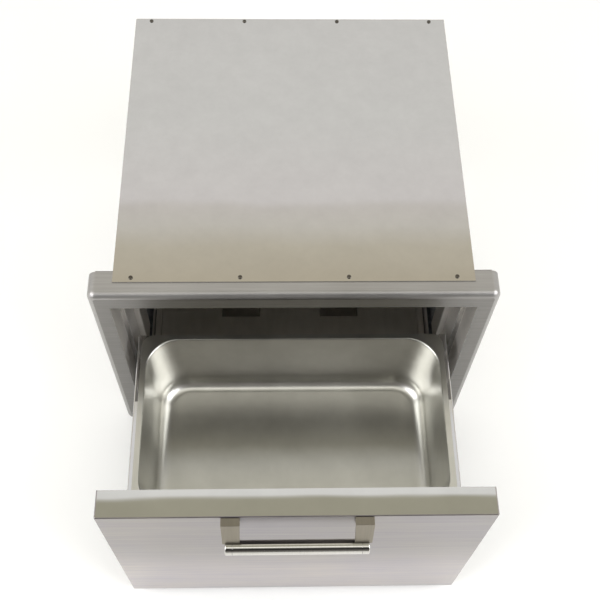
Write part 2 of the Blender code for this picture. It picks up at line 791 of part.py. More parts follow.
def build_handle(steel, brushed, dark, parent):
    tube_z = FRONT_TOP - HANDLE_DROP
    tube_y = -HANDLE_STANDOFF
    radius = HANDLE_TUBE / 2
    half = HANDLE_LENGTH / 2 - HANDLE_CAP
    bm = bmesh.new()
    add_rod(bm, radius, (-half, tube_y, tube_z), (half, tube_y, tube_z), TUBE_SEGMENTS)
    tube = finish("handle_tube", bm, steel, parent, smooth=True)
    bore = bmesh.new()
    end = half + OVERSHOOT
    add_rod(bore, radius - HANDLE_WALL, (-end, tube_y, tube_z), (end, tube_y, tube_z), TUBE_SEGMENTS)
    cut(tube, cutter("handle_bore", bore, parent))

    clear = bmesh.new()
    reach = BRACKET_OUTSET + BRACKET_WIDTH
    add_rod(clear, radius + TOUCH, (-reach, tube_y, tube_z), (reach, tube_y, tube_z), TUBE_SEGMENTS)
    clear_cutter = cutter("handle_clearance", clear, parent)

    arm = FRONT_TOP - STRAP
    face = -TOUCH - STRAP / 2
    path = [(face, FRONT_TOP - BRACKET_TAB), (face, arm), (-BRACKET_ARM, arm), (tube_y, tube_z)]
    for name, side in (("handle_bracket_left", -1), ("handle_bracket_right", 1)):
        centre = side * (BRACKET_OUTSET - BRACKET_WIDTH / 2)
        bm = bmesh.new()
        add_prism(bm, folded(path, STRAP), along_x, -BRACKET_WIDTH / 2, BRACKET_WIDTH / 2)
        for vert in bm.verts:
            if vert.co.z < tube_z + radius / 2:
                vert.co.x *= BRACKET_TAPER
        bracket = finish(name, bm, brushed, parent, (centre, 0.0, 0.0))
        cut(bracket, clear_cutter)
        hole = bmesh.new()
        bore_radius = (TOP_SCREW + HOLE_CLEARANCE) / 2
        z = bracket_screw_height()
        add_rod(hole, bore_radius, (centre, -2 * STRAP, z), (centre, STRAP, z), SCREW_SEGMENTS)
        cut(bracket, cutter(name + "_hole", hole, parent))
        screw(
            name.replace("bracket", "screw"),
            TOP_SCREW / 2,
            TOP_SCREW_HEAD / 2,
            BRACKET_SCREW_RISE,
            TOP_SCREW_LENGTH + STRAP,
            dark,
            parent,
            (centre, face - STRAP / 2 - TOUCH / 3, z),
            (0, -1, 0),
        )

        bm = bmesh.new()
        cap_start = side * (half + TOUCH)
        cap_end = side * (half + HANDLE_CAP)
        spigot = radius - HANDLE_WALL - TOUCH
        rings = (
            (spigot, side * (half - HANDLE_CAP)),
            (spigot, cap_start),
            (radius, cap_start),
            (radius, cap_end - side * CAP_CHAMFER),
            (radius - CAP_CHAMFER, cap_end),
        )
        loops = []
        for ring, x in rings:
            loops.append([(x, tube_y + u, tube_z + v) for u, v in circle(ring, TUBE_SEGMENTS)])
        add_loft(bm, loops)
        finish(name.replace("bracket", "cap"), bm, steel, parent, smooth=True)


def build_magnet(look, parent):
    """The magnet that tells the switch behind the frame that the drawer is shut."""
    width, deep, height = MAGNET
    start = FRONT_THICKNESS - SHEET - TOUCH
    z = FRONT_TOP - 2 * height
    bm = bmesh.new()
    add_block(
        bm,
        (SWITCH_X - width / 2, SWITCH_X + width / 2),
        (start - deep, start),
        (z, z + height),
    )
    finish("switch_magnet", bm, look, parent)


def main():
    clear_scene()
    satin = material("satin_stainless", (0.62, 0.62, 0.60), 0.34, 1.0)
    brushed = material("brushed_stainless", (0.60, 0.59, 0.57), 0.30, 1.0)
    drawn = material("drawn_stainless", (0.68, 0.68, 0.67), 0.22, 1.0)
    polished = material("polished_stainless", (0.72, 0.72, 0.71), 0.15, 1.0)
    zinc = material("zinc_plated_steel", (0.55, 0.56, 0.58), 0.35, 1.0)
    glass = material("lamp_glass", (0.85, 0.88, 0.92), 0.10, 0.0)
    white = material("white_plastic", (0.80, 0.80, 0.78), 0.45, 0.0)
    black = material("black_plastic", (0.03, 0.03, 0.03), 0.45, 0.0)
    mirror = material("reflector_aluminium", (0.85, 0.86, 0.87), 0.12, 1.0)

    cabinet = empty("cabinet", (0.0, 0.0, 0.0))
    middle = empty("slides_middle", (0.0, FRAME_FRONT - DRAWER_OPEN / 2, 0.0), cabinet)
    drawer = empty("drawer", (0.0, FRAME_FRONT - DRAWER_OPEN, 0.0), cabinet)
    pan = empty("pan_seat", (0.0, PAN_CENTRE, PAN_TOP), drawer)

    holes = screw_hole_cutter(cabinet)
    build_top(satin, zinc, cabinet, holes)
    build_body(satin, cabinet, holes)
    build_frame(brushed, cabinet, holes)
    build_inner_plates(satin, cabinet)
    build_uprights(satin, cabinet)
    build_lamp(glass, white, mirror, cabinet)
    build_electrics(zinc, white, black, cabinet)
    for side, label in ((-1, "left"), (1, "right")):
        build_slides(side, label, zinc, cabinet, middle, drawer)
    build_drawer_front(brushed, drawer)
    build_drawer_rails(satin, drawer)
    build_pan(drawn, pan)
    build_handle(polished, brushed, zinc, drawer)
    build_magnet(black, drawer)


main()
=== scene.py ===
"""The looks of the ultraviolet sterilizer cabinet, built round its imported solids."""

import math

import bmesh
import bpy
from mathutils import Matrix, Vector


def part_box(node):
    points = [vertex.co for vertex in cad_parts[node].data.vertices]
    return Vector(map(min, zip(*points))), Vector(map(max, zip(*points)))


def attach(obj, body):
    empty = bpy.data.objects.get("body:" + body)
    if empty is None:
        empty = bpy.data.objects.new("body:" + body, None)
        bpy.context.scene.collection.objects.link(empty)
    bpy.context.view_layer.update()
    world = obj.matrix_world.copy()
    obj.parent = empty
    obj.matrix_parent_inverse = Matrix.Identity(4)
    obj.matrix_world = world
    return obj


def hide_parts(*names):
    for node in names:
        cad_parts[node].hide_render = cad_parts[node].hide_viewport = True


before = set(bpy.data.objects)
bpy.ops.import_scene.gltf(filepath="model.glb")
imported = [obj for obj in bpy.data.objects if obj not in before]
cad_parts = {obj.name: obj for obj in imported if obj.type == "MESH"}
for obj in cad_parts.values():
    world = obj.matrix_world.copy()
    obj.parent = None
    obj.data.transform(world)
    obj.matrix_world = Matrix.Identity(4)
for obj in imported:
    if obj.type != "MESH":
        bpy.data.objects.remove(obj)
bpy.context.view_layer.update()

MM = 0.001
NEAR = 0.01 * MM

# Sheet: its thickness, the outer and inner radius of a fold, and the width of a broken cut edge
SHEET = 1.2 * MM
FOLD_OUTSIDE = 2.2 * MM
FOLD_INSIDE = 1.0 * MM
CUT_EDGE = 0.25 * MM

# Edges turned more than SHARP are rounded, and those turned less than SMOOTH are shaded as one surface
SHARP = math.radians(60)
SMOOTH = math.radians(35)


# ---------------------------------------------------------------- materials


def colour(code):
    """An sRGB hex colour as linear values."""
    shares = [int(code[i : i + 2], 16) / 255 for i in (0, 2, 4)]
    linear = [v / 12.92 if v <= 0.04045 else ((v + 0.055) / 1.055) ** 2.4 for v in shares]
    return (*linear, 1.0)


def add(tree, kind, inputs, **settings):
    """A node with its settings. Each input takes a value or the socket that feeds it."""
    node = tree.nodes.new("ShaderNode" + kind)
    for name, value in settings.items():
        setattr(node, name, value)
    for name, value in inputs.items():
        if isinstance(value, bpy.types.NodeSocket):
            tree.links.new(value, node.inputs[name])
        else:
            node.inputs[name].default_value = value
    return node


def shades(node, stops):
    """Sets the stops of a colour ramp from (place, hex colour) pairs."""
    ramp = node.color_ramp
    while len(ramp.elements) < len(stops):
        ramp.elements.new(0.5)
    for element, (place, code) in zip(ramp.elements, stops):
        element.position = place
        element.color = colour(code)
    return node


# Length over which a thin sheet swells and dips
BUCKLE_LENGTH = 170.0 * MM


def blank(name):
    material = bpy.data.materials.new(name)
    material.use_nodes = True
    material.node_tree.nodes.clear()
    return material, material.node_tree


def sheet_metal(name, codes, roughness, grain, grain_depth, wave, cloud=140.0, smear=0.03, painted_shade=None):
    """Rolled or brushed metal, with lengths in millimetres. codes are its tones from dark to light, grain the
    length of one streak along X, Y and Z, wave how far the sheet is out of flat, cloud the size of a patch of
    tone, and smear how far the roughness strays. The last argument is two heights and the share of its tone
    left above the upper one: a painted shade that darkens the tone toward the top, standing in for a fall of
    light."""
    material, tree = blank(name)
    place = add(tree, "TexCoord", {}).outputs["Object"]
    stretch = [1.0 / (length * MM) for length in grain]
    streaks = add(tree, "Mapping", {"Vector": place, "Scale": stretch})
    lines = add(
        tree,
        "TexNoise",
        {"Vector": streaks.outputs[0], "Scale": 1.0, "Detail": 4.0, "Roughness": 0.6},
    )
    patches = add(
        tree,
        "TexNoise",
        {"Vector": place, "Scale": 1.0 / (cloud * MM), "Detail": 3.0, "Roughness": 0.55},
    )
    tone = add(
        tree,
        "Mix",
        {"Factor": 0.4, "A": lines.outputs["Fac"], "B": patches.outputs["Fac"]},
        data_type="FLOAT",
    )
    steps = [(0.35 + 0.3 * rank / (len(codes) - 1), code) for rank, code in enumerate(codes)]
    tint = shades(add(tree, "ValToRGB", {"Fac": tone.outputs["Result"]}), steps)
    matt = add(
        tree,
        "MapRange",
        {
            "Value": patches.outputs["Fac"],
            "From Min": 0.3,
            "From Max": 0.7,
            "To Min": roughness - smear,
            "To Max": roughness + smear,
        },
    )
    swell = add(tree, "TexNoise", {"Vector": place, "Scale": 1.0 / BUCKLE_LENGTH, "Detail": 1.0})
    buckle = add(
        tree,
        "Bump",
        {"Height": swell.outputs["Fac"], "Distance": wave * MM, "Strength": 1.0},
    )
    scratch = add(
        tree,
        "Bump",
        {
            "Height": lines.outputs["Fac"],
            "Distance": grain_depth * MM,
            "Strength": 1.0,
            "Normal": buckle.outputs["Normal"],
        },
    )
    base = tint.outputs["Color"]
    # Painted shade: the tone is darkened between two heights toward the top, standing in for a fall of light.
    if painted_shade:
        foot, head, left_over = painted_shade
        height = add(tree, "SeparateXYZ", {"Vector": place}).outputs["Z"]
        share = add(
            tree,
            "MapRange",
            {
                "Value": height,
                "From Min": foot * MM,
                "From Max": head * MM,
                "To Min": 1.0,
                "To Max": left_over,
            },
            interpolation_type="SMOOTHSTEP",
        )
        shaded_tone = add(
            tree,
            "MixRGB",
            {"Fac": 1.0, "Color1": base, "Color2": share.outputs["Result"]},
            blend_type="MULTIPLY",
        )
        base = shaded_tone.outputs["Color"]
    shader = add(
        tree,
        "BsdfPrincipled",
        {
            "Base Color": base,
            "Metallic": 1.0,
            "Roughness": matt.outputs["Result"],
            "Normal": scratch.outputs["Normal"],
        },
    )
    add(tree, "OutputMaterial", {"Surface": shader.outputs["BSDF"]})
    return material


def moulded(name, codes, roughness, pebble, ior=1.5, transmission=0.0):
    """Plastic or glass with a fine moulded skin. pebble is the size of its texture in millimetres."""
    material, tree = blank(name)
    place = add(tree, "TexCoord", {}).outputs["Object"]
    skin = add(tree, "TexNoise", {"Vector": place, "Scale": 1.0 / (pebble * MM), "Detail": 3.0})
    tint = add(tree, "ValToRGB", {"Fac": skin.outputs["Fac"]})
    shades(tint, ((0.35, codes[0]), (0.65, codes[1])))
    matt = add(
        tree,
        "MapRange",
        {"Value": skin.outputs["Fac"], "To Min": roughness * 0.8, "To Max": roughness * 1.25},
    )
    bump = add(tree, "Bump", {"Height": skin.outputs["Fac"], "Distance": 0.03 * MM, "Strength": 0.6})
    shader = add(
        tree,
        "BsdfPrincipled",
        {
            "Base Color": tint.outputs["Color"],
            "Roughness": matt.outputs["Result"],
            "IOR": ior,
            "Transmission Weight": transmission,
            "Normal": bump.outputs["Normal"],
        },
    )
    add(tree, "OutputMaterial", {"Surface": shader.outputs["BSDF"]})
    return material


# Cold-rolled stainless sheet with a bright mill finish: an even grey that mirrors large shapes softly,
# so the walls and ceiling of the room lie across it as broad, faintly wavy bands.
SATIN = sheet_metal(
    "satin_rolled_stainless", ("BAB9B8", "BFBEBD"), 0.03, (30.0, 30.0, 30.0), 0.0, 0.26, smear=0.008
)
# Plain rolled stainless inside the cavity: duller and browner, with no shapes to make out in it.
INNER = sheet_metal(
    "plain_rolled_stainless", ("CBC7BE", "D6D2CA"), 0.46, (14.0, 60.0, 60.0), 0.002, 0.03
)
# Hairline-brushed stainless: fine streaks from side to side, faintly violet where dark and warm where light.
# Real lines are 0.1 mm apart; these are 3 mm apart, so that they show. A painted shade darkens it toward the
# top: it stands in for a fall of light, and is no change in the metal.
BRUSHED = sheet_metal(
    "hairline_brushed_stainless",
    ("A39DA4", "B2ACAB", "C0B9B2"),
    0.32,
    (230.0, 3.0, 3.0),
    0.02,
    0.08,
    painted_shade=(100.0, 330.0, 0.6),
)
# Bright stainless on the drawer's top fold: it mirrors the ceiling with hardly any blur.
FOLDED = sheet_metal(
    "bright_folded_stainless", ("BEBDB9", "C4C3BF"), 0.02, (60.0, 60.0, 60.0), 0.0, 0.3, smear=0.004
)
# Brushed stainless on the rounded frame: a mid grey that blurs all that it mirrors.
FRAMED = sheet_metal(
    "wiped_brushed_stainless", ("9D9B99", "AAA8A6"), 0.42, (150.0, 4.0, 4.0), 0.006, 0.03
)
# The same brushing on the frame's flat face, in a darker grey: painted shade, laid on one face of the same
# sheet.
SHADED_FACE = sheet_metal(
    "brushed_stainless_shaded_face", ("7C7A77", "898784"), 0.34, (150.0, 4.0, 4.0), 0.006, 0.03
)
# Matt stainless on the faces beside the drawer, with only a soft sheen; its pale tone is painted light, on
# the faces that light through the opening falls on.
PAINTED_LIGHT_MATT = sheet_metal(
    "matt_stainless_painted_light", ("DAD6D0", "E6E2DC"), 0.62, (14.0, 60.0, 60.0), 0.002, 0.03
)
# Deep-drawn stainless: smooth satin walls that brighten over the bends.
DRAWN = sheet_metal(
    "deep_drawn_stainless", ("C0BFB9", "CECDC7"), 0.3, (60.0, 60.0, 60.0), 0.0, 0.05, smear=0.02
)
# Polished drawn steel: close to a mirror, so that on the tube the room shrinks to narrow lines along it.
POLISHED = sheet_metal(
    "belt_polished_stainless", ("C0BEB9", "CAC8C4"), 0.12, (1.5, 60.0, 60.0), 0.0, 0.0
)
# Handle straps: brushed along their length, with a warm tone.
STRAP = sheet_metal(
    "brushed_strap_stainless", ("7E796E", "888277"), 0.31, (3.0, 60.0, 60.0), 0.003, 0.01
)
# Zinc plating: a dull grey metal with small spangles.
ZINC = sheet_metal(
    "zinc_plated_steel", ("77797B", "96999B"), 0.34, (5.0, 7.0, 5.0), 0.004, 0.0, cloud=12.0
)
# Small stainless screws, darker than the sheet that they hold down.
SCREW = sheet_metal(
    "stainless_screw_steel", ("524E49", "6C6861"), 0.23, (5.0, 5.0, 5.0), 0.0, 0.0, cloud=12.0
)
# Bright rolled aluminium, close to a mirror.
MIRROR = sheet_metal(
    "bright_rolled_aluminium", ("D9DADB", "E4E5E6"), 0.1, (200.0, 3.0, 3.0), 0.002, 0.02
)
# Plain aluminium: a soft, even grey.
CASING = sheet_metal(
    "plain_aluminium_casing", ("AEB0B2", "BDBFC1"), 0.36, (4.0, 90.0, 4.0), 0.003, 0.01
)
# Moulded nylon, white and black: matt, with a fine pebble.
WHITE = moulded("moulded_white_nylon", ("D2D1CC", "DCDBD6"), 0.42, 1.2)
BLACK = moulded("moulded_black_nylon", ("17171A", "212124"), 0.44, 1.0)
# Quartz glass tube, seen as a pale bluish rod.
QUARTZ = moulded("drawn_quartz_glass", ("E3EAF2", "EDF3F8"), 0.06, 40.0, ior=1.46, transmission=0.75)


# ---------------------------------------------------------------- modelling helpers


def alone(piece):
    bpy.ops.object.select_all(action="DESELECT")
    piece.select_set(True)
    bpy.context.view_layer.objects.active = piece


def edit(piece):
    alone(piece)
    bpy.ops.object.mode_set(mode="EDIT")


def leave():
    bpy.ops.object.mode_set(mode="OBJECT")


def choose(piece, kind, test):
    """Selects only the vertices, edges or faces of the edited piece that pass the test."""
    bpy.ops.mesh.select_mode(type=kind)
    bpy.ops.mesh.select_all(action="DESELECT")
    mesh = bmesh.from_edit_mesh(piece.data)
    mesh.normal_update()
    members = {"VERT": mesh.verts, "EDGE": mesh.edges, "FACE": mesh.faces}[kind]
    for member in members:
        if test(member):
            member.select = True
    mesh.select_flush_mode()
    bmesh.update_edit_mesh(piece.data)


def middle(edge):
    return (edge.verts[0].co + edge.verts[1].co) / 2


def runs_along(edge, axis):
    """Whether an edge lies along the axis numbered 0, 1 or 2."""
    run = (edge.verts[1].co - edge.verts[0].co).normalized()
    return abs(run[axis]) > 0.999


def edge_at(edge, axis, place):
    """Whether both ends of an edge stand at one place along the axis numbered 0, 1 or 2."""
    return all(abs(vert.co[axis] - place) < NEAR for vert in edge.verts)


def face_at(face, axis, place):
    """Whether a face's middle stands at a place along the axis numbered 0, 1 or 2."""
    return abs(face.calc_center_median()[axis] - place) < NEAR


def angle_of(edge):
    return edge.calc_face_angle(0.0)


def modify(piece, kind, **settings):
    """Adds a modifier and applies it."""
    alone(piece)
    modifier = piece.modifiers.new(kind.title(), kind)
    for name, value in settings.items():
        setattr(modifier, name, value)
    bpy.ops.object.modifier_apply(modifier=modifier.name)


def finish_piece(piece, material, body, nodes=()):
    alone(piece)
    bpy.ops.object.transform_apply(location=True, rotation=True, scale=True)
    bpy.ops.object.shade_smooth_by_angle(angle=SMOOTH)
    modify(piece, "WEIGHTED_NORMAL", keep_sharp=True, weight=90)
    piece.data.materials.clear()
    piece.data.materials.append(material)
    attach(piece, body)
    if nodes:
        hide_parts(*nodes)
    return piece


def refinish(piece, material, chosen):
    """Gives the faces of a finished piece that pass the test another material."""
    piece.data.materials.append(material)
    for face in piece.data.polygons:
        if chosen(face):
            face.material_index = len(piece.data.materials) - 1


def block(name, low, high):
    """A block between two corners, ready to be shaped."""
    low, high = Vector(low), Vector(high)
    bpy.ops.object.select_all(action="DESELECT")
    bpy.ops.mesh.primitive_cube_add(size=1.0, location=(low + high) / 2, scale=high - low)
    piece = bpy.context.object
    piece.name = name
    piece.data.name = name
    bpy.ops.object.transform_apply(location=True, rotation=True, scale=True)
    return piece


def rod(name, radius, start, end, sides, fill="NGON"):
    """A round bar from one point to another."""
    start, end = Vector(start), Vector(end)
    along = end - start
    bpy.ops.object.select_all(action="DESELECT")
    bpy.ops.mesh.primitive_cylinder_add(
        vertices=sides,
        radius=radius,
        depth=along.length,
        end_fill_type=fill,
        location=(start + end) / 2,
        rotation=along.to_track_quat("Z", "Y").to_euler(),
    )
    piece = bpy.context.object
    piece.name = name
    piece.data.name = name
    bpy.ops.object.transform_apply(location=True, rotation=True, scale=True)
    return piece


def round_edges(piece, test, width, segments):
    choose(piece, "EDGE", test)
    bpy.ops.mesh.bevel(offset=width, segments=segments, affect="EDGES", clamp_overlap=True)


def turn_out(piece, axis, way):
    """Turns an open shell over unless its lowest face along the axis looks the given way, 1 or -1."""
    mesh = bmesh.new()
    mesh.from_mesh(piece.data)
    first = min(mesh.faces, key=lambda f: f.calc_center_median()[axis])
    if first.normal[axis] * way < 0:
        bmesh.ops.reverse_faces(mesh, faces=mesh.faces)
        mesh.to_mesh(piece.data)
    mesh.free()


def thin(face):
    """Whether a face is the cut edge of a sheet, or its end seen along the folds."""
    return 2 * face.calc_area() / face.calc_perimeter() < 1.4 * SHEET


def is_fold(edge):
    return angle_of(edge) > SHARP and not any(thin(face) for face in edge.link_faces)


def sheet_piece(node, material, body, fold=FOLD_OUTSIDE, inside=FOLD_INSIDE):
    """A folded sheet with its bends rounded and its cut edges broken, made on a copy of its solid."""
    piece = bpy.data.objects.new(node + "_sheet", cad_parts[node].data.copy())
    bpy.context.scene.collection.objects.link(piece)
    edit(piece)
    bpy.ops.mesh.customdata_custom_splitnormals_clear()
    bpy.ops.mesh.select_all(action="SELECT")
    bpy.ops.mesh.remove_doubles(threshold=0.00001)
    bpy.ops.mesh.dissolve_limited(angle_limit=math.radians(0.5))
    if fold:
        round_edges(piece, lambda e: is_fold(e) and e.is_convex, fold, 4)
        round_edges(piece, lambda e: is_fold(e) and not e.is_convex, inside, 3)
    round_edges(piece, lambda e: angle_of(e) > SHARP, CUT_EDGE, 1)
    leave()
    return finish_piece(piece, material, body, (node,))


# ---------------------------------------------------------------- camera, lights and floor


CAMERA_PLACE = (-0.0295, -1.0446, 1.7925)
CAMERA_PITCH, CAMERA_YAW, CAMERA_ROLL = 60.633, 2.93, -2.307
FOCAL_LENGTH = 57.395
FILM_WIDTH = 36.0


def build_camera():
    """A camera above the open drawer and in front of it, looking down into the pan."""
    pitch, yaw, roll = (math.radians(turn) for turn in (CAMERA_PITCH, CAMERA_YAW, CAMERA_ROLL))
    forward = Vector(
        (math.sin(yaw) * math.cos(pitch), math.cos(yaw) * math.cos(pitch), -math.sin(pitch))
    )
    level = Vector((math.cos(yaw), -math.sin(yaw), 0.0))
    down = forward.cross(level)
    right = math.cos(roll) * level + math.sin(roll) * down
    up = right.cross(forward)
    lens = bpy.data.cameras.new("camera")
    lens.sensor_width = FILM_WIDTH
    lens.lens = FOCAL_LENGTH
    camera = bpy.data.objects.new("camera", lens)
    bpy.context.scene.collection.objects.link(camera)
    turn = Matrix((right, up, -forward)).transposed().to_4x4()
    camera.matrix_world = Matrix.Translation(CAMERA_PLACE) @ turn
    bpy.context.scene.camera = camera


# The room as the steel mirrors it, in three spans of degrees round from the wall behind the cabinet, over the
# ceiling, to the front: each holds the tones met along it.
REAR_WALL = ((0, "E6E6E4"), (30, "F2F1EE"), (50, "F7F6F2"))
CEILING = (
    (50, "F7F6F2"),
    (54.7, "F8F4F1"),
    (55.1, "ECE7E0"),
    (56.2, "EBE7DD"),
    (57.5, "DFD8C5"),
    (59.5, "D7CEB8"),
    (62.0, "E6DFCC"),
    (66.0, "E2DDCB"),
    (68.0, "FFFFFF"),
    (72.3, "FFFFFF"),
    (72.42, "B9B6A5"),
    (80.0, "B4B1A1"),
)
ROOM_FRONT = (
    (80, "B4B1A1"),
    (96, "B2B0A1"),
    (99, "ECEAE4"),
    (115, "ECEAE4"),
    (120, "7A7873"),
    (128, "3A3937"),
    (148, "32312F"),
    (160, "787673"),
    (180, "92908C"),
)
ROOM = ((0, 50, REAR_WALL), (50, 80, CEILING), (80, 180, ROOM_FRONT))
ROOM_STRENGTH = 1.17
BACKDROP = "F4F4F3"


def build_room():
    world = bpy.data.worlds.new("studio")
    bpy.context.scene.world = world
    world.use_nodes = True
    tree = world.node_tree
    tree.nodes.clear()
    place = add(tree, "TexCoord", {}).outputs["Generated"]
    axes = add(tree, "SeparateXYZ", {"Vector": place})
    turn = add(tree, "Math", {0: axes.outputs["Z"], 1: axes.outputs["Y"]}, operation="ARCTAN2")
    degrees = add(tree, "Math", {0: turn.outputs[0]}, operation="DEGREES").outputs[0]
    tones = None
    for start, end, stops in ROOM:
        share = add(tree, "MapRange", {"Value": degrees, "From Min": start, "From Max": end})
        span = add(tree, "ValToRGB", {"Fac": share.outputs["Result"]})
        shades(span, [((angle - start) / (end - start), code) for angle, code in stops])
        if tones is None:
            tones = span.outputs["Color"]
            continue
        beyond = add(tree, "Math", {0: degrees, 1: start}, operation="GREATER_THAN")
        joined = add(
            tree,
            "MixRGB",
            {"Fac": beyond.outputs[0], "Color1": tones, "Color2": span.outputs["Color"]},
        )
        tones = joined.outputs["Color"]
    glow = add(tree, "Background", {"Color": tones, "Strength": ROOM_STRENGTH})
    plain = add(tree, "Background", {"Color": colour(BACKDROP), "Strength": 1.0})
    seen = add(tree, "LightPath", {}).outputs["Is Camera Ray"]
    both = add(
        tree,
        "MixShader",
        {0: seen, 1: glow.outputs["Background"], 2: plain.outputs["Background"]},
    )
    add(tree, "OutputWorld", {"Surface": both.outputs["Shader"]})


FLOOR_SIZE = 40.0
FLOOR_GAP = 1.0 * MM


def soft_light(name, place, target, size, power, code):
    light = bpy.data.lights.new(name, "AREA")
    light.shape = "RECTANGLE"
    light.size, light.size_y = size
    light.energy = power
    light.color = colour(code)[:3]
    lamp = bpy.data.objects.new(name, light)
    lamp.location = place
    lamp.rotation_euler = (Vector(target) - Vector(place)).to_track_quat("-Z", "Y").to_euler()
    lamp.visible_camera = False
    bpy.context.scene.collection.objects.link(lamp)


def build_stage():
    """A plain pale floor under two large soft lights and one narrow one."""
    bpy.context.scene.view_settings.view_transform = "Standard"
    material, tree = blank("pale_studio_floor")
    place = add(tree, "TexCoord", {}).outputs["Object"]
    mottle = add(tree, "TexNoise", {"Vector": place, "Scale": 3.0, "Detail": 2.0})
    tint = add(tree, "ValToRGB", {"Fac": mottle.outputs["Fac"]})
    shades(tint, ((0.3, "FBFBFA"), (0.7, "FDFDFC")))
    shader = add(tree, "BsdfPrincipled", {"Base Color": tint.outputs["Color"], "Roughness": 0.75})
    add(tree, "OutputMaterial", {"Surface": shader.outputs["BSDF"]})
    bpy.ops.object.select_all(action="DESELECT")
    bpy.ops.mesh.primitive_plane_add(size=FLOOR_SIZE, location=(0.0, 0.0, -FLOOR_GAP))
    floor = bpy.context.object
    floor.name = "studio_floor"
    floor.data.materials.append(material)
    for name, side in (("left_softbox", -1), ("right_softbox", 1)):
        soft_light(name, (side * 2.3, -1.3, 2.0), (0.0, -0.3, 0.2), (2.2, 2.0), 64.0, "FBFCFF")
    soft_light("strip_softbox", (0.0, -1.37, 3.0), (0.0, -0.67, 0.4), (2.6, 0.4), 3.0, "FFFDF8")


# ---------------------------------------------------------------- pan


def build_pan():
    """A deep-drawn pan: a flat flange, a rounded rim, sloping walls and a wide bend into the floor."""
    low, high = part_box("pan")
    centre = (low + high) / 2
    flange, rim, draft, bend = 10 * MM, 3 * MM, 11 * MM, 22 * MM
    flange_corner, well_corner, corner_steps = 22 * MM, 57 * MM, 14
    metal = 1.0 * MM
    length, width = high.x - low.x, high.y - low.y
    top, foot_height = high.z, low.z + metal
    bpy.ops.object.select_all(action="DESELECT")
    bpy.ops.mesh.primitive_plane_add(size=1.0, location=(centre.x, centre.y, top))
    piece = bpy.context.object
    piece.name = "lift_out_pan"
    piece.scale = (length, width, 1.0)
    bpy.ops.object.transform_apply(location=True, rotation=True, scale=True)
    edit(piece)
    bpy.ops.mesh.select_all(action="SELECT")
    bpy.ops.mesh.bevel(offset=flange_corner, segments=corner_steps, affect="VERTICES", clamp_overlap=True)
    bpy.ops.mesh.select_all(action="SELECT")
    bpy.ops.mesh.delete(type="ONLY_FACE")
    bpy.ops.mesh.primitive_plane_add(size=1.0, location=(centre.x, centre.y, top))
    size = (length - 2 * flange, width - 2 * flange, 1.0)
    bpy.ops.transform.resize(value=size, center_override=(centre.x, centre.y, top))
    bpy.ops.mesh.bevel(offset=well_corner, segments=corner_steps, affect="VERTICES", clamp_overlap=True)
    choose(piece, "FACE", lambda face: True)
    foot = (length - 2 * (flange + rim + draft), width - 2 * (flange + rim + draft))
    bpy.ops.mesh.extrude_region_move(TRANSFORM_OT_translate={"value": (0.0, 0.0, foot_height - top)})
    bpy.ops.transform.resize(
        value=(foot[0] / size[0], foot[1] / size[1], 1.0),
        center_override=(centre.x, centre.y, foot_height),
    )
    choose(piece, "EDGE", lambda e: edge_at(e, 2, top))
    bpy.ops.mesh.bridge_edge_loops()
    slack = 0.1 * MM
    inner_x = length / 2 - flange + slack
    inner_y = width / 2 - flange + slack

    def at_rim(edge):
        inside = all(abs(v.co.x) < inner_x and abs(v.co.y - centre.y) < inner_y for v in edge.verts)
        return edge_at(edge, 2, top) and inside and angle_of(edge) > SHARP

    round_edges(piece, at_rim, rim, 5)
    near_floor = low.z + 2 * MM

    def at_floor(edge):
        return all(v.co.z < near_floor for v in edge.verts) and angle_of(edge) > SHARP

    round_edges(piece, at_floor, bend, 9)
    bpy.ops.mesh.select_all(action="SELECT")
    bpy.ops.mesh.normals_make_consistent(inside=False)
    leave()
    turn_out(piece, 2, 1)
    modify(piece, "SOLIDIFY", thickness=metal, offset=-1.0, use_even_offset=True)
    finish_piece(piece, DRAWN, "pan", ("pan",))


# ---------------------------------------------------------------- front frame and drawer front


# The opening that the drawer passes through, from the middle of the frame and from the floor
OPENING_HALF_WIDTH = 292.5 * MM
OPENING_SILL = 16.0 * MM
OPENING_HEAD = 458.0 * MM


